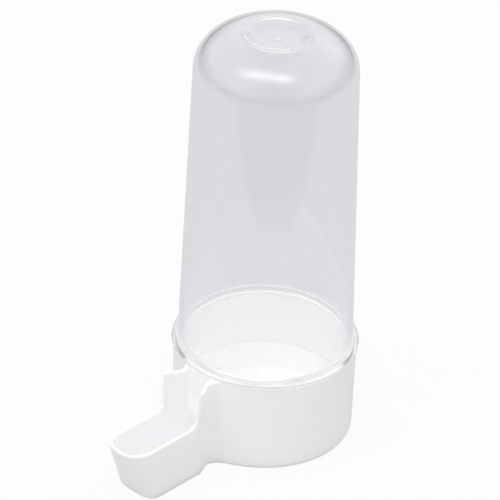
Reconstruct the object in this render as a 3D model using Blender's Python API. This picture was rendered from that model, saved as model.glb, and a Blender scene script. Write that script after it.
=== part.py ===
"""Cage-bird siphon drinker: clear reservoir tube standing in a white base with a drinking trough.

Metres, +Z up. The origin is on the underside, on the axis of the cup. The trough points to -Y.
"""
import math
import bpy

MM = 0.001

# Cup of the base
CUP_RIM_RADIUS = 28.3 * MM
CUP_HEIGHT = 30.2 * MM
CUP_DRAFT = 0.3 * MM
WALL = 1.4 * MM
FLOOR = 1.8 * MM
CUP_EDGE_RADIUS = 2.4 * MM
TROUGH_EDGE_RADIUS = 0.5 * MM
EDGE_CHANGE_FROM = 22.0 * MM
EDGE_CHANGE_RUN = 11.0 * MM
INNER_EDGE_RADIUS = 1.2 * MM

# Neck with a groove down each side, and the trough
NECK_HALF_WIDTH = 5.9 * MM
NECK_FILLET = 4.4 * MM
NECK_TO_SHOULDER = 4.0 * MM
SHOULDER_TO_STEP = 0.2 * MM
SHOULDER_RUN = 4.6 * MM
SHOULDER_FLARE = 0.6 * MM
SHOULDER_FULL_AT = 0.8
TROUGH_HALF_WIDTH = 7.7 * MM
TROUGH_REACH = 63.4 * MM
TROUGH_HEIGHT = 18.2 * MM
TROUGH_END_SLANT = 7.1 * MM
TROUGH_END_LENGTH = 7.5 * MM
END_LENGTH_BELOW = 0.55
END_LENGTH_LEAST = 0.6 * MM
END_POWER_BELOW = 0.7
END_POWER_RIM = 0.85
STEP_TOP_RADIUS = 0.9 * MM
STEP_FOOT_RADIUS = 3.5 * MM
STEP_LEAN = 0.9 * MM

# Reservoir tube
TUBE_WALL = 1.4 * MM
TUBE_HEIGHT = 106.4 * MM
TUBE_TAPER = 2.3 * MM
PLUG_CLEARANCE = 0.4 * MM
PLUG_LENGTH = 18.2 * MM
SEAT_GAP = 0.3 * MM
FLANGE_OVERHANG = 0.7 * MM
FLANGE_EDGE = 0.9 * MM
FLANGE_CHAMFER = 0.25 * MM
FLANGE_RISE = 2.1 * MM
FLANGE_FILLET = 0.7 * MM
TUBE_STEP = 0.4 * MM
DOME_HEIGHT = 12.4 * MM
DOME_WIDTH = 14.0 * MM
LIP_WIDTH = 1.1 * MM
LIP_HEIGHT = 0.2 * MM
LIP_DROP = 0.45 * MM
RECESS_DEPTH = 1.5 * MM
RECESS_WALL_RUN = 1.7 * MM
RECESS_FILLET = 0.45 * MM
UNDERSIDE_STEP = 0.8 * MM

# Sizes that follow from those above
CUP_INNER_RADIUS = CUP_RIM_RADIUS - WALL
PLUG_RADIUS = CUP_INNER_RADIUS - PLUG_CLEARANCE
FLANGE_RADIUS = CUP_RIM_RADIUS + FLANGE_OVERHANG
SEAT_Z = CUP_HEIGHT + SEAT_GAP
TUBE_FOOT_RADIUS = PLUG_RADIUS + TUBE_STEP
FILLET_X = NECK_HALF_WIDTH + NECK_FILLET
NECK_S = math.sqrt((CUP_RIM_RADIUS + NECK_FILLET) ** 2 - FILLET_X ** 2)
SHOULDER_S = NECK_S + NECK_TO_SHOULDER
STEP_S = SHOULDER_S + SHOULDER_TO_STEP

TUBE_STEPS = 64
ARC_CUP = 34
ARC_FILLET = 7
ARC_NECK = 7
ARC_STEP = 5
RUN_TROUGH = 5
ARC_END = 9
ARC_EDGE = 3
ARC_DOME = 9
SHARP_ANGLE = math.radians(35.0)

for old in list(bpy.data.objects):
    bpy.data.objects.remove(old, do_unlink=True)


def smooth(t):
    """Ease from 0 to 1 with level ends."""
    t = min(max(t, 0.0), 1.0)
    return t * t * (3.0 - 2.0 * t)


def plastic(name, colour, roughness):
    """Plain moulded plastic."""
    mat = bpy.data.materials.new(name)
    mat.use_nodes = True
    shader = mat.node_tree.nodes["Principled BSDF"]
    shader.inputs["Base Color"].default_value = (*colour, 1.0)
    shader.inputs["Roughness"].default_value = roughness
    shader.inputs["Metallic"].default_value = 0.0
    return mat


def closed_body(name, verts, faces, mat):
    """One object from vertices and faces."""
    mesh = bpy.data.meshes.new(name)
    mesh.from_pydata(verts, [], faces)
    mesh.update()
    mesh.shade_smooth()
    mesh.set_sharp_from_angle(angle=SHARP_ANGLE)
    mesh.materials.append(mat)
    obj = bpy.data.objects.new(name, mesh)
    bpy.context.scene.collection.objects.link(obj)
    return obj


def rings_body(name, rings, mat):
    """Skin a list of closed rings, given from the bottom outside, over the rim, to the inside."""
    count = len(rings[0])
    verts = [p for ring in rings for p in ring]
    faces = []
    for r in range(len(rings) - 1):
        for i in range(count):
            j = (i + 1) % count
            low, high = r * count, (r + 1) * count
            faces.append((high + i, high + j, low + j, low + i))
    last = (len(rings) - 1) * count
    faces.append(tuple(range(count)))
    faces.append(tuple(reversed(range(last, last + count))))
    return closed_body(name, verts, faces, mat)


# Base: cup, neck and trough are one moulding

def step_path():
    """Side view of the wall top from the shoulder down to the trough rim: distance out, height."""
    drop = CUP_HEIGHT - TROUGH_HEIGHT
    lean = STEP_LEAN / (drop - STEP_FOOT_RADIUS)
    tilt = math.atan(lean)
    path = []
    for k in range(ARC_STEP + 1):
        a = math.pi / 2 - (math.pi / 2 - tilt) * k / ARC_STEP
        path.append((STEP_S + STEP_TOP_RADIUS * math.cos(a),
                     CUP_HEIGHT - STEP_TOP_RADIUS + STEP_TOP_RADIUS * math.sin(a)))
    upper_s, upper_z = path[-1]
    foot_z = TROUGH_HEIGHT + STEP_FOOT_RADIUS * (1.0 - math.sin(tilt))
    foot_s = upper_s + lean * (upper_z - foot_z)
    centre_s = foot_s + STEP_FOOT_RADIUS * math.cos(tilt)
    for k in range(ARC_STEP + 1):
        a = math.pi + tilt + (math.pi / 2 - tilt) * k / ARC_STEP
        path.append((centre_s + STEP_FOOT_RADIUS * math.cos(a),
                     TROUGH_HEIGHT + STEP_FOOT_RADIUS * (1.0 + math.sin(a))))
    return path


def half_width(s, z):
    """Outer half width of neck and trough at a distance from the cup axis and a height."""
    shoulder = TROUGH_HALF_WIDTH + SHOULDER_FLARE * min(1.0, z / (SHOULDER_FULL_AT * CUP_HEIGHT))
    if s < SHOULDER_S:
        return NECK_HALF_WIDTH + (shoulder - NECK_HALF_WIDTH) * (s - NECK_S) / NECK_TO_SHOULDER
    fall = smooth((s - SHOULDER_S) / (SHOULDER_TO_STEP + SHOULDER_RUN))
    return shoulder + (TROUGH_HALF_WIDTH - shoulder) * fall


def edge_radius(s):
    """Radius of the lower outer edge, which is larger on the cup than on the trough."""
    change = smooth((s - EDGE_CHANGE_FROM) / EDGE_CHANGE_RUN)
    return CUP_EDGE_RADIUS + (TROUGH_EDGE_RADIUS - CUP_EDGE_RADIUS) * change


def half_outline(z_at, depth_at):
    """Half of the plan from the back of the cup to the trough tip, as (x, out, z).

    z_at gives the height of a point from the height of the wall top there and its distance out.
    depth_at gives how far the point lies inside the outer face.
    """
    points = []
    meet = math.atan2(FILLET_X, NECK_S)
    for k in range(ARC_CUP + 1):
        a = math.pi - (math.pi - meet) * k / ARC_CUP
        s = CUP_RIM_RADIUS * math.cos(a)
        z = z_at(CUP_HEIGHT, s)
        cup_r = CUP_RIM_RADIUS - CUP_DRAFT * (1.0 - z / CUP_HEIGHT) - depth_at(s)
        points.append((cup_r * math.sin(a), cup_r * math.cos(a), z))
    for k in range(1, ARC_FILLET + 1):
        a = meet + (math.pi / 2 - meet) * k / ARC_FILLET
        s = NECK_S - NECK_FILLET * math.cos(a)
        fillet = NECK_FILLET + depth_at(s)
        points.append((FILLET_X - fillet * math.sin(a), NECK_S - fillet * math.cos(a), z_at(CUP_HEIGHT, s)))
    for k in range(1, ARC_NECK + 1):
        s = NECK_S + (STEP_S - NECK_S) * k / ARC_NECK
        z = z_at(CUP_HEIGHT, s)
        points.append((half_width(s, z) - depth_at(s), s, z))
    path = step_path()
    for s, top in path[1:]:
        z = z_at(top, s)
        points.append((half_width(s, z) - depth_at(s), s, z))
    run_s = path[-1][0]
    z = z_at(TROUGH_HEIGHT, run_s)
    depth = depth_at(run_s)
    share = z / TROUGH_HEIGHT
    end_length = TROUGH_END_LENGTH * (END_LENGTH_BELOW + (1.0 - END_LENGTH_BELOW) * share) - depth
    end_length = max(end_length, END_LENGTH_LEAST)
    end_s = TROUGH_REACH - TROUGH_END_SLANT * (1.0 - share) - depth - end_length
    power = END_POWER_BELOW + (END_POWER_RIM - END_POWER_BELOW) * share
    for k in range(1, RUN_TROUGH + 1):
        s = run_s + (end_s - run_s) * k / RUN_TROUGH
        points.append((half_width(s, z) - depth, s, z))
    for k in range(1, ARC_END + 1):
        a = math.pi / 2 * k / ARC_END
        across = math.cos(a) ** power if k < ARC_END else 0.0
        points.append(((TROUGH_HALF_WIDTH - depth) * across, end_s + end_length * math.sin(a) ** power, z))
    return points


def ring(z_at, depth_at):
    """Mirror a half plan to a closed ring; out from the axis becomes -Y."""
    points = half_outline(z_at, depth_at)
    right = [(x, -s, z) for x, s, z in points]
    left = [(-x, -s, z) for x, s, z in reversed(points[1:-1])]
    return right + left


def base_rings():
    """Rings from the underside, up the outside, over the rim and down the inside to the floor."""
    rings = []
    for k in range(ARC_EDGE + 1):
        a = math.pi / 2 * k / ARC_EDGE
        up, into = 1.0 - math.cos(a), 1.0 - math.sin(a)
        rings.append(ring(lambda top, s: edge_radius(s) * up, lambda s: edge_radius(s) * into))
    for share in (0.5, 1.0):
        rings.append(ring(lambda top, s: top * share, lambda s: 0.0))
    floor_top = FLOOR + INNER_EDGE_RADIUS
    for share in (1.0, 0.5):
        rings.append(ring(lambda top, s: floor_top + (top - floor_top) * share, lambda s: WALL))
    for k in range(ARC_EDGE + 1):
        a = math.pi / 2 * k / ARC_EDGE
        z, depth = floor_top - INNER_EDGE_RADIUS * math.sin(a), WALL + INNER_EDGE_RADIUS * (1.0 - math.cos(a))
        rings.append(ring(lambda top, s: z, lambda s: depth))
    return rings


white = plastic("white_plastic", (0.86, 0.87, 0.88), 0.35)
rings_body("trough_base", base_rings(), white)


# Reservoir tube: plug, flange, tapered wall and domed top are one moulding

def tube_profile():
    """Closed half section from the axis under the top, down the inside, up the outside to the axis."""
    top_z = SEAT_Z + TUBE_HEIGHT
    wall_z = SEAT_Z + FLANGE_EDGE + FLANGE_RISE
    shoulder_z = top_z - DOME_HEIGHT
    shoulder_r = TUBE_FOOT_RADIUS - TUBE_TAPER
    crown_r = shoulder_r - DOME_WIDTH
    floor_z = top_z - RECESS_DEPTH
    lip_r = crown_r - LIP_WIDTH
    floor_r = lip_r - RECESS_WALL_RUN
    plug_z = SEAT_Z - PLUG_LENGTH
    outside = [(PLUG_RADIUS, plug_z), (PLUG_RADIUS, SEAT_Z)]
    outside.append((FLANGE_RADIUS - FLANGE_CHAMFER, SEAT_Z))
    outside.append((FLANGE_RADIUS, SEAT_Z + FLANGE_CHAMFER))
    outside.append((FLANGE_RADIUS - FLANGE_CHAMFER, SEAT_Z + FLANGE_EDGE))
    outside.append((TUBE_FOOT_RADIUS + FLANGE_FILLET, wall_z - FLANGE_FILLET))
    outside.append((TUBE_FOOT_RADIUS, wall_z))
    for k in range(ARC_DOME + 1):
        a = math.pi / 2 * k / ARC_DOME
        outside.append((crown_r + DOME_WIDTH * math.cos(a), shoulder_z + DOME_HEIGHT * math.sin(a)))
    outside.append((crown_r - LIP_WIDTH / 2, top_z + LIP_HEIGHT))
    outside.append((lip_r, top_z - LIP_DROP))
    outside.append((floor_r + RECESS_FILLET, floor_z + RECESS_FILLET))
    outside.append((floor_r, floor_z))
    outside.append((0.0, floor_z))
    inside = [(0.0, floor_z - TUBE_WALL), (floor_r + UNDERSIDE_STEP, floor_z - TUBE_WALL)]
    for k in range(ARC_DOME - 2, -1, -1):
        a = math.pi / 2 * k / ARC_DOME
        inside.append((crown_r + (DOME_WIDTH - TUBE_WALL) * math.cos(a),
                       shoulder_z + (DOME_HEIGHT - TUBE_WALL) * math.sin(a)))
    inside.append((TUBE_FOOT_RADIUS - TUBE_WALL, wall_z))
    inside.append((PLUG_RADIUS - TUBE_WALL, SEAT_Z))
    inside.append((PLUG_RADIUS - TUBE_WALL, plug_z))
    return inside + outside


def revolved(name, profile, mat):
    """Turn a closed half section round Z; its first and last points lie on the axis."""
    verts = [(0.0, 0.0, profile[0][1])]
    middle = profile[1:-1]
    for r, z in middle:
        for k in range(TUBE_STEPS):
            a = 2.0 * math.pi * k / TUBE_STEPS
            verts.append((r * math.cos(a), r * math.sin(a), z))
    last = len(verts)
    verts.append((0.0, 0.0, profile[-1][1]))
    faces = []
    for k in range(TUBE_STEPS):
        n = (k + 1) % TUBE_STEPS
        faces.append((0, 1 + n, 1 + k))
        for m in range(len(middle) - 1):
            a, b = 1 + m * TUBE_STEPS, 1 + (m + 1) * TUBE_STEPS
            faces.append((a + k, a + n, b + n, b + k))
        end = 1 + (len(middle) - 1) * TUBE_STEPS
        faces.append((last, end + k, end + n))
    return closed_body(name, verts, faces, mat)


clear = plastic("clear_plastic", (0.80, 0.82, 0.86), 0.08)
revolved("reservoir_tube", tube_profile(), clear)
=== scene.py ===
"""Looks of a cage-bird siphon drinker: a white base with a trough and a clear tube that plugs into it.

Metres, +Z up, origin on the underside on the axis of the cup, trough towards -Y.
"""
import math

import bmesh
import bpy
from mathutils import Matrix, Vector


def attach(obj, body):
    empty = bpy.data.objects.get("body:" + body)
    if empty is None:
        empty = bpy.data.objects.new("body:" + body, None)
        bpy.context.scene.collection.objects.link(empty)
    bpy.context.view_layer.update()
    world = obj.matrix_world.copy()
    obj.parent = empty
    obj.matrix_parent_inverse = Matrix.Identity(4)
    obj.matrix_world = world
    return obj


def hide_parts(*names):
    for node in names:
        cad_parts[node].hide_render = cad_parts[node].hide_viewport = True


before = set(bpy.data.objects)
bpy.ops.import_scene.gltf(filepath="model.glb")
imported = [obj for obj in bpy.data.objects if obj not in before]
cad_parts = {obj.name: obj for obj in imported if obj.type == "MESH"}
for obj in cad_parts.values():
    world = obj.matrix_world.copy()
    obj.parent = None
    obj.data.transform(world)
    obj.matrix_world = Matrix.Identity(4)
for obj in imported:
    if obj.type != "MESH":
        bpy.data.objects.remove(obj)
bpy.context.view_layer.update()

# Base: one injection moulding in white polystyrene. A round cup takes the plug of the tube,
# a neck with a groove down each side sits between two cage bars, and a low open trough holds
# the water that the bird drinks. The wall is one thickness, with softly rounded rims.
MM = 0.001
CUP_RADIUS = 28.3 * MM
CUP_HEIGHT = 30.2 * MM
CUP_DRAFT = 0.3 * MM
BASE_WALL = 1.4 * MM
BASE_FLOOR = 1.8 * MM
RIM_ROUND = 0.68 * MM
CUP_EDGE_ROUND = 2.4 * MM
TROUGH_EDGE_ROUND = 0.5 * MM
EDGE_CHANGE_FROM = 22.0 * MM
EDGE_CHANGE_RUN = 11.0 * MM
FLOOR_ROUND = 1.9 * MM
NECK_HALF_WIDTH = 5.9 * MM
NECK_FILLET = 4.4 * MM
NECK_TO_SHOULDER = 4.0 * MM
SHOULDER_TO_STEP = 0.2 * MM
SHOULDER_RUN = 4.6 * MM
SHOULDER_FLARE = 0.6 * MM
SHOULDER_FULL_AT = 0.8
TROUGH_HALF_WIDTH = 7.7 * MM
TROUGH_REACH = 63.4 * MM
TROUGH_HEIGHT = 18.2 * MM
TROUGH_END_SLANT = 7.1 * MM
TROUGH_END_LENGTH = 7.5 * MM
END_LENGTH_BELOW = 0.55
END_LENGTH_LEAST = 0.6 * MM
END_POWER_BELOW = 0.7
END_POWER_RIM = 0.85
STEP_TOP_ROUND = 0.9 * MM
STEP_FOOT_ROUND = 3.5 * MM
STEP_LEAN = 0.9 * MM
FILLET_X = NECK_HALF_WIDTH + NECK_FILLET
NECK_S = math.sqrt((CUP_RADIUS + NECK_FILLET) ** 2 - FILLET_X ** 2)
SHOULDER_S = NECK_S + NECK_TO_SHOULDER
STEP_S = SHOULDER_S + SHOULDER_TO_STEP

CUP_STEPS = 96
FILLET_STEPS = 16
NECK_STEPS = 20
STEP_ARC_STEPS = 10
STEP_RISE_STEPS = 8
TROUGH_STEPS = 18
TROUGH_END_STEPS = 28
EDGE_STEPS = 6
RIM_STEPS = 12
FLOOR_STEPS = 8
WALL_SHARES = (0.25, 0.5, 0.75)

WHITE_TONES = ((0.890, 0.894, 0.902, 1.0), (0.909, 0.913, 0.920, 1.0))
# Painted light: the inside of the cup is painted lighter than the outside.
WHITE_INSIDE_PAINTED_LIGHTER = (0.945, 0.945, 0.948, 1.0)
WHITE_ROUGHNESS = (0.30, 0.42)
WHITE_IOR = 1.55
WHITE_BLEED = 2.0 * MM
MOTTLE_SCALE = 60.0
MOTTLE_DETAIL = 3.0
MOTTLE_STOPS = (0.35, 0.65)
PEEL_SCALE = 900.0
PEEL_DETAIL = 2.0
PEEL_STRENGTH = 0.05
PEEL_DEPTH = 0.05 * MM


def ease(t):
    """Ease from 0 to 1 with level ends."""
    t = min(max(t, 0.0), 1.0)
    return t * t * (3.0 - 2.0 * t)


def step_path():
    """Side view of the wall top from the shoulder to the trough rim, as (out, height, slope angle)."""
    lean = math.atan(STEP_LEAN / (CUP_HEIGHT - TROUGH_HEIGHT - STEP_FOOT_ROUND))
    path = []
    for k in range(STEP_ARC_STEPS + 1):
        slope = (math.pi / 2 - lean) * k / STEP_ARC_STEPS
        path.append((STEP_S + STEP_TOP_ROUND * math.sin(slope),
                     CUP_HEIGHT - STEP_TOP_ROUND * (1.0 - math.cos(slope)), slope))
    top_s, top_z, slope = path[-1]
    foot_z = TROUGH_HEIGHT + STEP_FOOT_ROUND * (1.0 - math.sin(lean))
    foot_s = top_s + math.tan(lean) * (top_z - foot_z)
    for k in range(1, STEP_RISE_STEPS):
        t = k / STEP_RISE_STEPS
        path.append((top_s + (foot_s - top_s) * t, top_z + (foot_z - top_z) * t, slope))
    centre_s = foot_s + STEP_FOOT_ROUND * math.cos(lean)
    for k in range(STEP_ARC_STEPS + 1):
        slope = (math.pi / 2 - lean) * (1.0 - k / STEP_ARC_STEPS)
        path.append((centre_s - STEP_FOOT_ROUND * math.sin(slope),
                     TROUGH_HEIGHT + STEP_FOOT_ROUND * (1.0 - math.cos(slope)), slope))
    return path


def half_width(s, z):
    """Outer half width of neck and trough at a distance from the cup axis and a height."""
    shoulder = TROUGH_HALF_WIDTH + SHOULDER_FLARE * min(1.0, z / (SHOULDER_FULL_AT * CUP_HEIGHT))
    if s < SHOULDER_S:
        return NECK_HALF_WIDTH + (shoulder - NECK_HALF_WIDTH) * (s - NECK_S) / NECK_TO_SHOULDER
    fall = ease((s - SHOULDER_S) / (SHOULDER_TO_STEP + SHOULDER_RUN))
    return shoulder + (TROUGH_HALF_WIDTH - shoulder) * fall


def half_plan(place):
    """Half of the plan from the back of the cup to the trough tip, as (x, out, z).

    From the wall top at a point, its distance out and the slope of the top there, place gives
    the point's height, how far it moves out, and its depth inside the outer face.
    """
    points = []
    meet = math.atan2(FILLET_X, NECK_S)
    for k in range(CUP_STEPS + 1):
        a = math.pi - (math.pi - meet) * k / CUP_STEPS
        z, _, depth = place(CUP_HEIGHT, CUP_RADIUS * math.cos(a), 0.0)
        cup = CUP_RADIUS - CUP_DRAFT * (1.0 - z / CUP_HEIGHT) - depth
        points.append((cup * math.sin(a), cup * math.cos(a), z))
    for k in range(1, FILLET_STEPS + 1):
        a = meet + (math.pi / 2 - meet) * k / FILLET_STEPS
        z, _, depth = place(CUP_HEIGHT, NECK_S - NECK_FILLET * math.cos(a), 0.0)
        fillet = NECK_FILLET + depth
        points.append((FILLET_X - fillet * math.sin(a), NECK_S - fillet * math.cos(a), z))
    for k in range(1, NECK_STEPS + 1):
        s = NECK_S + (STEP_S - NECK_S) * k / NECK_STEPS
        z, _, depth = place(CUP_HEIGHT, s, 0.0)
        points.append((half_width(s, z) - depth, s, z))
    path = step_path()
    for s, top, slope in path[1:]:
        z, shift, depth = place(top, s, slope)
        points.append((half_width(s + shift, z) - depth, s + shift, z))
    run_s = path[-1][0]
    z, _, depth = place(TROUGH_HEIGHT, run_s, 0.0)
    share = z / TROUGH_HEIGHT
    end_length = TROUGH_END_LENGTH * (END_LENGTH_BELOW + (1.0 - END_LENGTH_BELOW) * share) - depth
    end_length = max(end_length, END_LENGTH_LEAST)
    end_s = TROUGH_REACH - TROUGH_END_SLANT * (1.0 - share) - depth - end_length
    power = END_POWER_BELOW + (END_POWER_RIM - END_POWER_BELOW) * share
    for k in range(1, TROUGH_STEPS + 1):
        s = run_s + (end_s - run_s) * k / TROUGH_STEPS
        points.append((half_width(s, z) - depth, s, z))
    for k in range(1, TROUGH_END_STEPS + 1):
        a = math.pi / 2 * k / TROUGH_END_STEPS
        across = math.cos(a) ** power if k < TROUGH_END_STEPS else 0.0
        ahead = end_length * math.sin(a) ** power
        points.append(((TROUGH_HALF_WIDTH - depth) * across, end_s + ahead, z))
    return points


def edge_round(s):
    """Round of the lower outer edge, which is larger on the cup than on the trough."""
    change = ease((s - EDGE_CHANGE_FROM) / EDGE_CHANGE_RUN)
    return CUP_EDGE_ROUND + (TROUGH_EDGE_ROUND - CUP_EDGE_ROUND) * change


def base_rings():
    """Rings from the underside, up the outside, over the rim and down the inside to the floor."""
    places = []
    for k in range(EDGE_STEPS + 1):
        a = math.pi / 2 * k / EDGE_STEPS
        up, into = 1.0 - math.cos(a), 1.0 - math.sin(a)
        places.append(lambda top, s, slope, up=up, into=into: (
            edge_round(s) * up, 0.0, edge_round(s) * into))
    for share in WALL_SHARES:
        places.append(lambda top, s, slope, share=share: (
            edge_round(s) + (top - RIM_ROUND - edge_round(s)) * share, 0.0, 0.0))
    for k in range(RIM_STEPS + 1):
        a = math.pi * k / RIM_STEPS
        drop = RIM_ROUND * (1.0 - math.sin(a))
        into = RIM_ROUND * (1.0 - math.cos(a))
        if k > RIM_STEPS // 2:
            into = BASE_WALL - RIM_ROUND * (1.0 + math.cos(a))
        places.append(lambda top, s, slope, drop=drop, into=into: (
            top - drop * math.cos(slope), -drop * math.sin(slope), into))
    floor_top = BASE_FLOOR + FLOOR_ROUND
    for share in reversed(WALL_SHARES):
        places.append(lambda top, s, slope, share=share: (
            floor_top + (top - RIM_ROUND - floor_top) * share, 0.0, BASE_WALL))
    for k in range(FLOOR_STEPS + 1):
        a = math.pi / 2 * k / FLOOR_STEPS
        z, into = floor_top - FLOOR_ROUND * math.sin(a), BASE_WALL + FLOOR_ROUND * (1.0 - math.cos(a))
        places.append(lambda top, s, slope, z=z, into=into: (z, 0.0, into))
    rings = []
    for place in places:
        points = half_plan(place)
        right = [(x, -s, z) for x, s, z in points]
        rings.append(right + [(-x, y, z) for x, y, z in reversed(right[1:-1])])
    return rings


def placed(name, data):
    """A new object in the scene that shows some data."""
    thing = bpy.data.objects.new(name, data)
    bpy.context.scene.collection.objects.link(thing)
    return thing


def skin(name, rings):
    """One closed mesh over a list of rings, with a flat cap at each end."""
    count = len(rings[0])
    faces = []
    for r in range(len(rings) - 1):
        for i in range(count):
            j = (i + 1) % count
            low, high = r * count, (r + 1) * count
            faces.append((high + i, high + j, low + j, low + i))
    last = (len(rings) - 1) * count
    caps = [tuple(range(count)), tuple(reversed(range(last, last + count)))]
    mesh = bpy.data.meshes.new(name)
    mesh.from_pydata([p for ring in rings for p in ring], [], faces + caps)
    mesh.update()
    mesh.shade_smooth()
    for cap in mesh.polygons[-2:]:
        cap.use_smooth = False
    return placed(name, mesh)


def new_material(name):
    """A new material with its first Principled node."""
    mat = bpy.data.materials.new(name)
    mat.use_nodes = True
    return mat, mat.node_tree, mat.node_tree.nodes["Principled BSDF"]


def noise(tree, where, scale, detail):
    """Noise over a position."""
    node = tree.nodes.new("ShaderNodeTexNoise")
    node.inputs["Scale"].default_value = scale
    node.inputs["Detail"].default_value = detail
    tree.links.new(where, node.inputs["Vector"])
    return node.outputs["Fac"]


def spread(tree, value, source, target):
    """One range of a value mapped to another."""
    node = tree.nodes.new("ShaderNodeMapRange")
    node.inputs["From Min"].default_value, node.inputs["From Max"].default_value = source
    node.inputs["To Min"].default_value, node.inputs["To Max"].default_value = target
    tree.links.new(value, node.inputs["Value"])
    return node.outputs["Result"]


def vector_math(tree, operation, vector, other=(0.0, 0.0, 0.0)):
    """Vector Math node on a socket and a fixed vector."""
    node = tree.nodes.new("ShaderNodeVectorMath")
    node.operation = operation
    node.inputs[1].default_value = other
    tree.links.new(vector, node.inputs[0])
    return node.outputs["Value" if operation in ("LENGTH", "DOT_PRODUCT") else "Vector"]


def bumped(tree, shader, height, strength, distance):
    """Bump on a shader."""
    node = tree.nodes.new("ShaderNodeBump")
    node.inputs["Strength"].default_value = strength
    node.inputs["Distance"].default_value = distance
    tree.links.new(height, node.inputs["Height"])
    tree.links.new(node.outputs["Normal"], shader.inputs["Normal"])


def white_moulding():
    """White polystyrene: satin gloss, mottled a trace by the mould, with a faint orange-peel bump.

    The inside of the cup is painted a little lighter: painted light.
    """
    mat, tree, shader = new_material("white_moulding")
    nodes, link = tree.nodes, tree.links.new
    where = nodes.new("ShaderNodeTexCoord").outputs["Object"]
    mottle = noise(tree, where, MOTTLE_SCALE, MOTTLE_DETAIL)
    tint = nodes.new("ShaderNodeValToRGB")
    for stop, position, tone in zip(tint.color_ramp.elements, MOTTLE_STOPS, WHITE_TONES):
        stop.position = position
        stop.color = tone
    link(mottle, tint.inputs["Fac"])
    radius = vector_math(tree, "LENGTH", vector_math(tree, "MULTIPLY", where, (1.0, 1.0, 0.0)))
    wall_inside = (CUP_RADIUS - 0.5 * BASE_WALL, CUP_RADIUS - BASE_WALL)
    # Painted light: inside the cup wall the colour is mixed to a lighter white.
    painted_light_inside = nodes.new("ShaderNodeMix")
    painted_light_inside.data_type = "RGBA"
    painted_light_inside.inputs["B"].default_value = WHITE_INSIDE_PAINTED_LIGHTER
    link(spread(tree, radius, wall_inside, (0.0, 1.0)), painted_light_inside.inputs["Factor"])
    link(tint.outputs["Color"], painted_light_inside.inputs["A"])
    link(painted_light_inside.outputs["Result"], shader.inputs["Base Color"])
    link(spread(tree, mottle, (0.0, 1.0), WHITE_ROUGHNESS), shader.inputs["Roughness"])
    bumped(tree, shader, noise(tree, where, PEEL_SCALE, PEEL_DETAIL), PEEL_STRENGTH, PEEL_DEPTH)
    shader.inputs["IOR"].default_value = WHITE_IOR
    shader.inputs["Subsurface Weight"].default_value = 1.0
    shader.inputs["Subsurface Radius"].default_value = (1.0, 1.0, 1.0)
    shader.inputs["Subsurface Scale"].default_value = WHITE_BLEED
    return mat


base = skin("base_moulding", base_rings())
base.data.materials.append(white_moulding())
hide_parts("trough_base")
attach(base, "base")

# Tube: one injection moulding in clear polystyrene, open below. The plug goes into the cup, the
# flange sits over the rim, and the tapered wall ends in a dome with a round gate recess in the top.
PLUG_RADIUS = 26.5 * MM
PLUG_LENGTH = 18.2 * MM
PLUG_LEAD = 6.0 * MM
PLUG_LEAD_ROUND = 2.0 * MM
PLUG_LIP = 0.3 * MM
PLUG_LIP_ROUND = 0.1 * MM
PLUG_EDGE_ROUND = 0.12 * MM
PLUG_ROOT_ROUND = 0.25 * MM
SEAT_Z = CUP_HEIGHT + 0.3 * MM
TUBE_WALL = 1.4 * MM
TUBE_HEIGHT = 106.4 * MM
TUBE_FOOT_RADIUS = 26.9 * MM
TUBE_FOOT_ROUND = 6.0 * MM
TUBE_TAPER = 2.3 * MM
FLANGE_RADIUS = 29.0 * MM
FLANGE_EDGE = 0.9 * MM
FLANGE_LIFT = 0.35 * MM
FLANGE_RISE = 2.1 * MM
FLANGE_DRAFT = 0.1 * MM
FLANGE_LOWER_ROUND = 0.3 * MM
FLANGE_UPPER_ROUND = 0.4 * MM
FLANGE_FILLET = 2.2 * MM
FILLET_OUT = 0.1 * MM
FILLET_DROP = 0.3 * MM
DOME_HEIGHT = 12.4 * MM
DOME_WIDTH = 14.6 * MM
LIP_WIDTH = 1.1 * MM
RECESS_DEPTH = 1.5 * MM
RECESS_WALL_RUN = 1.7 * MM
RECESS_TOP_ROUND = 1.5 * MM
RECESS_FLOOR_ROUND = 2.0 * MM
UNDERSIDE_ANGLE = math.radians(76.0)
UNDERSIDE_ROUND = 3.2 * MM
UNDER_FLOOR_OUT = 0.6 * TUBE_WALL
UNDER_CROWN_OUT = 0.2 * TUBE_WALL
UNDER_CROWN_DROP = 1.02 * TUBE_WALL
GATE_RADIUS = 1.8 * MM
GATE_HEIGHT = 0.25 * MM

TUBE_STEPS = 360
DOME_STEPS = 32
UNDERSIDE_STEPS = 28
UNDERSIDE_ARC_STEPS = 8
ARC_STEPS = 6
GATE_STEPS = 10
LONGEST_RUN = 5.0 * MM
RUN_END = 0.3 * MM
MERGE_DISTANCE = 0.002 * MM

CLEAR_IOR = 1.59
CLEAR_ROUGHNESS = (0.015, 0.04)
FLOW_SCALE = 140.0
FLOW_DETAIL = 2.0
FLOW_STRETCH = (1.0, 1.0, 0.02)
FLOW_STRENGTH = 0.02
FLOW_DEPTH = 0.2 * MM
# The body absorbs at this density, and glows as painted light at this strength and tone.
HAZE_AND_GLOW_PER_METRE = 18.0
PAINTED_GLOW_TONE = (0.73, 0.735, 0.765, 1.0)


def rounded(corners, arc_points):
    """A line through corners given as (radius, height, rounding), each cut by a round of its own size."""
    line = []
    for i, (r, z, size) in enumerate(corners):
        if size <= 0.0 or i in (0, len(corners) - 1):
            line.append((r, z))
            continue
        here = Vector((r, z))
        back = (Vector(corners[i - 1][:2]) - here).normalized()
        ahead = (Vector(corners[i + 1][:2]) - here).normalized()
        half = back.angle(ahead) / 2
        reach = size / math.tan(half)
        centre = here + (back + ahead).normalized() * (size / math.sin(half))
        start = here + back * reach - centre
        end = here + ahead * reach - centre
        angle = start.angle_signed(end)
        for k in range(arc_points + 1):
            line.append(tuple(centre + Matrix.Rotation(-angle * k / arc_points, 2) @ start))
    return line


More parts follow.
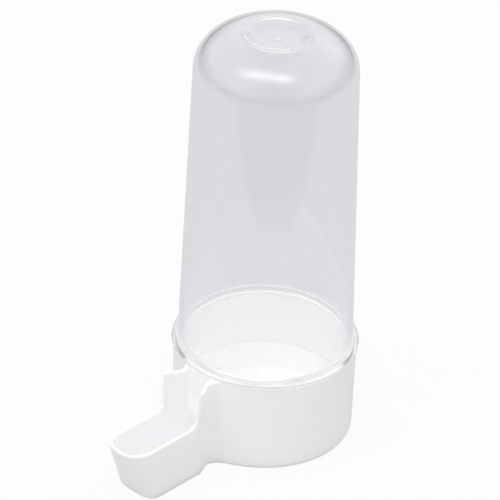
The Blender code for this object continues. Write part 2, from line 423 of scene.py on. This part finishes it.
def evened(line):
    """The same line with its long runs cut up, so that a round at a run's end doesn't bend its shading."""
    cut = [line[0]]
    for start, end in zip(line, line[1:]):
        length = math.dist(start, end)
        if length > LONGEST_RUN:
            inner = length - 2.0 * RUN_END
            count = math.ceil(inner / LONGEST_RUN)
            for k in range(count + 1):
                share = (RUN_END + inner * k / count) / length
                cut.append(tuple(a + (b - a) * share for a, b in zip(start, end)))
        cut.append(end)
    return cut


def tube_section():
    """Half section of the tube: from the axis under the top, down the inside, up the outside to the axis."""
    top_z = SEAT_Z + TUBE_HEIGHT
    wall_z = SEAT_Z + FLANGE_EDGE + FLANGE_RISE
    shoulder_z = top_z - DOME_HEIGHT
    shoulder_r = TUBE_FOOT_RADIUS - TUBE_TAPER
    crown_r = shoulder_r - DOME_WIDTH
    floor_z = top_z - RECESS_DEPTH
    lip_r = crown_r - LIP_WIDTH
    floor_r = lip_r - RECESS_WALL_RUN
    plug_z = SEAT_Z - PLUG_LENGTH
    inner_width, inner_height = DOME_WIDTH - TUBE_WALL, DOME_HEIGHT - TUBE_WALL
    inside = rounded([
        (0.0, floor_z - TUBE_WALL, 0.0),
        (floor_r + UNDER_FLOOR_OUT, floor_z - TUBE_WALL, UNDERSIDE_ROUND),
        (crown_r + UNDER_CROWN_OUT, top_z - UNDER_CROWN_DROP, UNDERSIDE_ROUND),
        (crown_r + inner_width * math.cos(UNDERSIDE_ANGLE),
         shoulder_z + inner_height * math.sin(UNDERSIDE_ANGLE), 0.0),
    ], UNDERSIDE_ARC_STEPS)
    for k in range(UNDERSIDE_STEPS - 1, -1, -1):
        a = UNDERSIDE_ANGLE * k / UNDERSIDE_STEPS
        inside.append((crown_r + inner_width * math.cos(a), shoulder_z + inner_height * math.sin(a)))
    wall = rounded([
        (shoulder_r - TUBE_WALL, shoulder_z, 0.0),
        (TUBE_FOOT_RADIUS - TUBE_WALL, SEAT_Z + FLANGE_RISE, TUBE_FOOT_ROUND),
        (PLUG_RADIUS - TUBE_WALL, plug_z + PLUG_LEAD, PLUG_LEAD_ROUND),
        (PLUG_RADIUS - PLUG_LIP, plug_z, PLUG_LIP_ROUND),
        (PLUG_RADIUS, plug_z, PLUG_EDGE_ROUND),
        (PLUG_RADIUS, SEAT_Z, PLUG_ROOT_ROUND),
        (FLANGE_RADIUS, SEAT_Z + FLANGE_LIFT, FLANGE_LOWER_ROUND),
        (FLANGE_RADIUS - FLANGE_DRAFT, SEAT_Z + FLANGE_EDGE, FLANGE_UPPER_ROUND),
        (TUBE_FOOT_RADIUS + FILLET_OUT, wall_z - FILLET_DROP, FLANGE_FILLET),
        (shoulder_r, shoulder_z, 0.0),
    ], ARC_STEPS)
    dome = []
    for k in range(1, DOME_STEPS + 1):
        a = math.pi / 2 * k / DOME_STEPS
        dome.append((crown_r + DOME_WIDTH * math.cos(a), shoulder_z + DOME_HEIGHT * math.sin(a)))
    recess = rounded([
        (crown_r, top_z, 0.0),
        (lip_r + 0.5 * LIP_WIDTH, top_z, RECESS_TOP_ROUND),
        (floor_r, floor_z, RECESS_FLOOR_ROUND),
        (GATE_RADIUS, floor_z, 0.0),
    ], ARC_STEPS)
    gate = []
    for k in range(1, GATE_STEPS + 1):
        share = 1.0 - k / GATE_STEPS
        swell = 0.5 + 0.5 * math.cos(math.pi * share)
        gate.append((GATE_RADIUS * share, floor_z + GATE_HEIGHT * swell))
    return evened(inside + wall[1:] + dome + recess[1:] + gate)


def calc(tree, operation, *values):
    """Math node on sockets and numbers."""
    node = tree.nodes.new("ShaderNodeMath")
    node.operation = operation
    for socket, value in zip(node.inputs, values):
        if isinstance(value, float):
            socket.default_value = value
        else:
            tree.links.new(value, socket)
    return node.outputs[0]


def turning_tree():
    """Geometry nodes that turn a half section, drawn as a line in the XZ plane, round the Z axis."""
    tree = bpy.data.node_groups.new("turn_section", "GeometryNodeTree")
    tree.interface.new_socket("Section", in_out="INPUT", socket_type="NodeSocketGeometry")
    tree.interface.new_socket("Steps", in_out="INPUT", socket_type="NodeSocketInt")
    tree.interface.new_socket("Finish", in_out="INPUT", socket_type="NodeSocketMaterial")
    tree.interface.new_socket("Turned", in_out="OUTPUT", socket_type="NodeSocketGeometry")
    nodes, link = tree.nodes, tree.links.new
    given = nodes.new("NodeGroupInput").outputs
    result = nodes.new("NodeGroupOutput")
    size = nodes.new("GeometryNodeAttributeDomainSize")
    size.component = "MESH"
    link(given["Section"], size.inputs["Geometry"])
    count, steps = size.outputs["Point Count"], given["Steps"]
    grid = nodes.new("GeometryNodeMeshGrid")
    link(calc(tree, "ADD", steps, 1.0), grid.inputs["Vertices X"])
    link(count, grid.inputs["Vertices Y"])
    index = nodes.new("GeometryNodeInputIndex").outputs[0]
    row = calc(tree, "MODULO", index, count)
    column = calc(tree, "FLOOR", calc(tree, "DIVIDE", index, count))
    angle = calc(tree, "MULTIPLY", calc(tree, "DIVIDE", column, steps), 2.0 * math.pi)
    sample = nodes.new("GeometryNodeSampleIndex")
    sample.data_type = "FLOAT_VECTOR"
    sample.domain = "POINT"
    link(given["Section"], sample.inputs["Geometry"])
    link(nodes.new("GeometryNodeInputPosition").outputs[0], sample.inputs["Value"])
    link(row, sample.inputs["Index"])
    spin = nodes.new("ShaderNodeVectorRotate")
    spin.rotation_type = "Z_AXIS"
    link(sample.outputs["Value"], spin.inputs["Vector"])
    link(angle, spin.inputs["Angle"])
    move = nodes.new("GeometryNodeSetPosition")
    link(grid.outputs["Mesh"], move.inputs["Geometry"])
    link(spin.outputs[0], move.inputs["Position"])
    close = nodes.new("GeometryNodeMergeByDistance")
    close.inputs["Distance"].default_value = MERGE_DISTANCE
    link(move.outputs["Geometry"], close.inputs["Geometry"])
    real = nodes.new("GeometryNodeRealizeInstances")
    link(close.outputs["Geometry"], real.inputs["Geometry"])
    finish = nodes.new("GeometryNodeSetMaterial")
    link(real.outputs["Geometry"], finish.inputs["Geometry"])
    link(given["Finish"], finish.inputs["Material"])
    link(finish.outputs["Geometry"], result.inputs["Turned"])
    return tree


def clear_moulding():
    """Clear polystyrene: polished, with faint upright flow lines.

    The body is faintly hazy: it takes up a little light, and it glows at the tone of the ground as painted
    light, so that light which is caught in the flange and the edges does not end black.
    """
    mat, tree, shader = new_material("clear_moulding")
    nodes, link = tree.nodes, tree.links.new
    shader.inputs["Base Color"].default_value = (1.0, 1.0, 1.0, 1.0)
    shader.inputs["Transmission Weight"].default_value = 1.0
    shader.inputs["IOR"].default_value = CLEAR_IOR
    stretch = nodes.new("ShaderNodeMapping")
    stretch.inputs["Scale"].default_value = FLOW_STRETCH
    link(nodes.new("ShaderNodeTexCoord").outputs["Object"], stretch.inputs["Vector"])
    flow = noise(tree, stretch.outputs["Vector"], FLOW_SCALE, FLOW_DETAIL)
    link(spread(tree, flow, (0.0, 1.0), CLEAR_ROUGHNESS), shader.inputs["Roughness"])
    bumped(tree, shader, flow, FLOW_STRENGTH, FLOW_DEPTH)
    taken = nodes.new("ShaderNodeVolumeAbsorption")
    taken.inputs["Color"].default_value = (0.0, 0.0, 0.0, 1.0)
    taken.inputs["Density"].default_value = HAZE_AND_GLOW_PER_METRE
    # Painted light: the clear body gives out light at the tone of the ground.
    given = nodes.new("ShaderNodeEmission")
    given.inputs["Color"].default_value = PAINTED_GLOW_TONE
    given.inputs["Strength"].default_value = HAZE_AND_GLOW_PER_METRE
    haze_and_painted_glow = nodes.new("ShaderNodeAddShader")
    link(taken.outputs["Volume"], haze_and_painted_glow.inputs[0])
    link(given.outputs["Emission"], haze_and_painted_glow.inputs[1])
    link(haze_and_painted_glow.outputs["Shader"], nodes["Material Output"].inputs["Volume"])
    return mat


def turned(name, section, steps, mat):
    """A closed mesh made by turning a section, with its faces pointing outwards."""
    edges = [(i, i + 1) for i in range(len(section) - 1)]
    line = bpy.data.meshes.new(name + "_section")
    line.from_pydata([(r, 0.0, z) for r, z in section], edges, [])
    maker = placed(name + "_maker", line)
    tree = turning_tree()
    modifier = maker.modifiers.new("turn", "NODES")
    modifier.node_group = tree
    keys = {s.name: s.identifier for s in tree.interface.items_tree if s.in_out == "INPUT"}
    modifier[keys["Steps"]] = steps
    modifier[keys["Finish"]] = mat
    graph = bpy.context.evaluated_depsgraph_get()
    mesh = bpy.data.meshes.new_from_object(maker.evaluated_get(graph))
    bpy.data.objects.remove(maker)
    mesh.name = name
    mesh.materials.clear()
    mesh.materials.append(mat)
    shell = bmesh.new()
    shell.from_mesh(mesh)
    bmesh.ops.recalc_face_normals(shell, faces=shell.faces)
    shell.to_mesh(mesh)
    shell.free()
    mesh.shade_smooth()
    return placed(name, mesh)


tube = turned("tube_moulding", tube_section(), TUBE_STEPS, clear_moulding())
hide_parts("reservoir_tube")
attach(tube, "tube")

# Camera: a long lens a metre away, turned so that the trough comes to the front left, with the
# slight tilt of the hand-held photograph.
CAMERA_AZIMUTH = math.radians(42.8)
CAMERA_ELEVATION = math.radians(31.7)
CAMERA_ROLL = math.radians(2.21)
CAMERA_DISTANCE = 1.0
CAMERA_LENS = 238.15
CAMERA_SENSOR = 36.0
CAMERA_CLIP = 0.01
AIM_HEIGHT = 70.0 * MM
AIM_RIGHT = -5.71 * MM
AIM_UP = -6.79 * MM

camera_data = bpy.data.cameras.new("photo_camera")
camera_data.sensor_width = CAMERA_SENSOR
camera_data.lens = CAMERA_LENS
camera_data.clip_start = CAMERA_CLIP
camera = placed("photo_camera", camera_data)
view_right = Vector((math.cos(CAMERA_AZIMUTH), math.sin(CAMERA_AZIMUTH), 0.0))
view_back = Vector((math.sin(CAMERA_AZIMUTH) * math.cos(CAMERA_ELEVATION),
                    -math.cos(CAMERA_AZIMUTH) * math.cos(CAMERA_ELEVATION), math.sin(CAMERA_ELEVATION)))
view_front = Vector((view_back.x, view_back.y, 0.0)).normalized()
view_up = view_back.cross(view_right)
aim = Vector((0.0, 0.0, AIM_HEIGHT)) + view_right * AIM_RIGHT + view_up * AIM_UP
rolled_right = view_right * math.cos(CAMERA_ROLL) + view_up * math.sin(CAMERA_ROLL)
rolled_up = view_up * math.cos(CAMERA_ROLL) - view_right * math.sin(CAMERA_ROLL)
camera_turn = Matrix((rolled_right, rolled_up, view_back)).transposed().to_4x4()
camera.matrix_world = Matrix.Translation(aim + view_back * CAMERA_DISTANCE) @ camera_turn
bpy.context.scene.camera = camera

# Table: a wide board that carries the drinker, plain white to the camera with a trace of soft shadow.
# Clear plastic shows it grey-lavender, and mirrors it with an edge about 18 cm in front of the drinker,
# which is the darker tongue down the front of the tube, and with dimmer sides.
BOARD_HALF = 4.0
BOARD_DROP = 0.1 * MM
BOARD_COLOUR = (0.62, 0.62, 0.63, 1.0)
BOARD_ROUGHNESS = 0.9
BOARD_WHITE_SHARE = 0.93
BOARD_TONE = (0.70, 0.705, 0.737, 1.0)
EDGE_BEND = 0.13
EDGE_SKEW = 0.07
EDGE_FALL = ((0.176, 0.190), (0.0, -0.6))
BEYOND_FALL = ((0.28, 0.6), (0.0, -0.4))
SIDE_FALL = ((0.3, 0.7), (0.0, -0.55))


def white_board():
    """White board: white to the camera, and grey-lavender where clear plastic shows or mirrors it."""
    mat, tree, shader = new_material("white_board")
    nodes, link = tree.nodes, tree.links.new
    shader.inputs["Base Color"].default_value = BOARD_COLOUR
    shader.inputs["Roughness"].default_value = BOARD_ROUGHNESS
    shader.inputs["Specular IOR Level"].default_value = 0.0
    ray = nodes.new("ShaderNodeLightPath").outputs
    where = nodes.new("ShaderNodeNewGeometry").outputs["Position"]
    aside = calc(tree, "ABSOLUTE", vector_math(tree, "DOT_PRODUCT", where, view_right))
    ahead = vector_math(tree, "DOT_PRODUCT", where, view_front + EDGE_SKEW * view_right)
    reach = calc(tree, "MULTIPLY_ADD", aside, EDGE_BEND, ahead)
    front = calc(tree, "ADD", spread(tree, reach, *EDGE_FALL), spread(tree, reach, *BEYOND_FALL))
    fall = calc(tree, "ADD", spread(tree, aside, *SIDE_FALL), front)
    level = calc(tree, "MULTIPLY_ADD", fall, calc(tree, "MINIMUM", ray["Glossy Depth"], 1.0), 1.0)
    level.node.use_clamp = True
    clear = nodes.new("ShaderNodeEmission")
    clear.inputs["Color"].default_value = BOARD_TONE
    link(level, clear.inputs["Strength"])
    mirrored = nodes.new("ShaderNodeMixShader")
    link(calc(tree, "MAXIMUM", ray["Is Transmission Ray"], ray["Is Glossy Ray"]), mirrored.inputs["Fac"])
    link(shader.outputs["BSDF"], mirrored.inputs[1])
    link(clear.outputs["Emission"], mirrored.inputs[2])
    white = nodes.new("ShaderNodeEmission")
    seen = nodes.new("ShaderNodeMixShader")
    link(calc(tree, "MULTIPLY", ray["Is Camera Ray"], BOARD_WHITE_SHARE), seen.inputs["Fac"])
    link(mirrored.outputs["Shader"], seen.inputs[1])
    link(white.outputs["Emission"], seen.inputs[2])
    link(seen.outputs["Shader"], nodes["Material Output"].inputs["Surface"])
    return mat


board_corners = [(x * BOARD_HALF, y * BOARD_HALF, -BOARD_DROP)
                 for x, y in ((-1.0, -1.0), (1.0, -1.0), (1.0, 1.0), (-1.0, 1.0))]
board_mesh = bpy.data.meshes.new("table_board")
board_mesh.from_pydata(board_corners, [], [(0, 1, 2, 3)])
board_mesh.materials.append(white_board())
board = placed("table_board", board_mesh)

# Light: a soft white room, dim at the horizon and brightest overhead, a little brighter on the left, with
# a few broad soft patches high in front that show as the highlight on the shoulder of the dome. Clear
# plastic mirrors a darker front side, and the room behind it has the tone of the board.
ROOM_LEVEL = 1.31
ROOM_STOPS = ((0.0, 0.12), (0.12, 0.30), (0.38, 0.74), (1.0, 0.66))
ROOM_LEAN = (-0.05, 0.11)
# Each patch: to the right, to the front, up, level, tightness.
PATCHES = (
    (-0.48, 0.22, 0.86, 1.7, 45.0),
    (-0.26, 0.26, 0.92, 2.1, 45.0),
    (-0.02, 0.36, 0.92, 1.5, 60.0),
    (0.16, 0.38, 0.90, 2.1, 60.0),
    (0.56, -0.74, 0.42, 0.45, 14.0),
    (-0.62, -0.72, 0.32, 0.15, 40.0),
    (0.0, -1.0, 0.08, 0.5, 16.0),
)
PATCH_LOSS_IN_CLEAR = 0.25
DARK_SIDE_UP = 0.3
DARK_SIDE_TIGHTNESS = 6.0
DARK_SIDE_LEVEL = 0.7
LEAST_IN_CLEAR = 0.36
BEHIND_CLEAR = 0.71
CAMERA_WHITE = 0.975
HALF = 0.5
BOUNCES = 128
CLEAR_BOUNCES = 96
WHITE_BOUNCES = 16

room = bpy.data.worlds.new("white_room")
room.use_nodes = True
room_tree = room.node_tree
room_where = room_tree.nodes.new("ShaderNodeTexCoord").outputs["Generated"]
room_ray = room_tree.nodes.new("ShaderNodeLightPath").outputs
straight_up = Vector((0.0, 0.0, 1.0))


def room_math(operation, *values):
    """Math node of the room."""
    return calc(room_tree, operation, *values)


def towards(direction):
    """1 in one direction of the room, falling to -1 in the opposite direction."""
    return vector_math(room_tree, "DOT_PRODUCT", room_where, direction.normalized())


def lobe(direction, tightness):
    """1 in one direction of the room, falling to 0 around it."""
    return room_math("POWER", room_math("MAXIMUM", towards(direction), 0.0), tightness)


# Rays that came through clear plastic and have not met a matt surface, and those of them that were mirrored.
through = room_math("GREATER_THAN", room_ray["Transmission Depth"], room_ray["Diffuse Depth"])
unlit = room_math("LESS_THAN", room_ray["Diffuse Depth"], HALF)
seen_through = room_math("MULTIPLY", through, unlit)
mirrored_ray = room_math("MINIMUM", room_ray["Glossy Depth"], 1.0)
straight = room_math("MULTIPLY", seen_through, room_math("LESS_THAN", mirrored_ray, HALF))

room_tone = room_tree.nodes.new("ShaderNodeValToRGB")
while len(room_tone.color_ramp.elements) < len(ROOM_STOPS):
    room_tone.color_ramp.elements.new(HALF)
for stop, (height, level) in zip(room_tone.color_ramp.elements, ROOM_STOPS):
    stop.position = height
    stop.color = (level, level, level, 1.0)
room_top = straight_up + view_right * ROOM_LEAN[0] + view_front * ROOM_LEAN[1]
room_tree.links.new(towards(room_top), room_tone.inputs["Fac"])
room_level = room_math("MULTIPLY", room_tone.outputs["Color"], ROOM_LEVEL)
patch_share = room_math("MULTIPLY_ADD", seen_through, -PATCH_LOSS_IN_CLEAR, 1.0)
for aside, front, up, level, tightness in PATCHES:
    patch = lobe(view_right * aside + view_front * front + straight_up * up, tightness)
    room_level = room_math("ADD", room_level,
                           room_math("MULTIPLY", room_math("MULTIPLY", patch, level), patch_share))
dark_side = lobe(view_front + straight_up * DARK_SIDE_UP, DARK_SIDE_TIGHTNESS)
dark_side = room_math("MULTIPLY", dark_side, room_math("MULTIPLY", mirrored_ray, unlit))
room_level = room_math("SUBTRACT", room_level, room_math("MULTIPLY", dark_side, DARK_SIDE_LEVEL))
room_level = room_math("MAXIMUM", room_level, room_math("MULTIPLY", seen_through, LEAST_IN_CLEAR))
room_level = room_math("MULTIPLY", room_level, room_math("LESS_THAN", straight, HALF))
room_level = room_math("MULTIPLY_ADD", straight, BEHIND_CLEAR, room_level)
camera_level = room_math("MULTIPLY", room_ray["Is Camera Ray"], CAMERA_WHITE)
room_level = room_math("MAXIMUM", room_math("MAXIMUM", room_level, 0.0), camera_level)
background = room_tree.nodes["Background"]
background.inputs["Color"].default_value = (1.0, 1.0, 1.0, 1.0)
room_tree.links.new(room_level, background.inputs["Strength"])
bpy.context.scene.world = room

# Light goes through both walls of the tube and the plug several times before it reaches the cup.
rays = bpy.context.scene.cycles
rays.max_bounces = BOUNCES
rays.transmission_bounces = CLEAR_BOUNCES
rays.glossy_bounces = CLEAR_BOUNCES
rays.diffuse_bounces = WHITE_BOUNCES
rays.blur_glossy = 0.0

bpy.context.scene.view_settings.view_transform = "Standard"
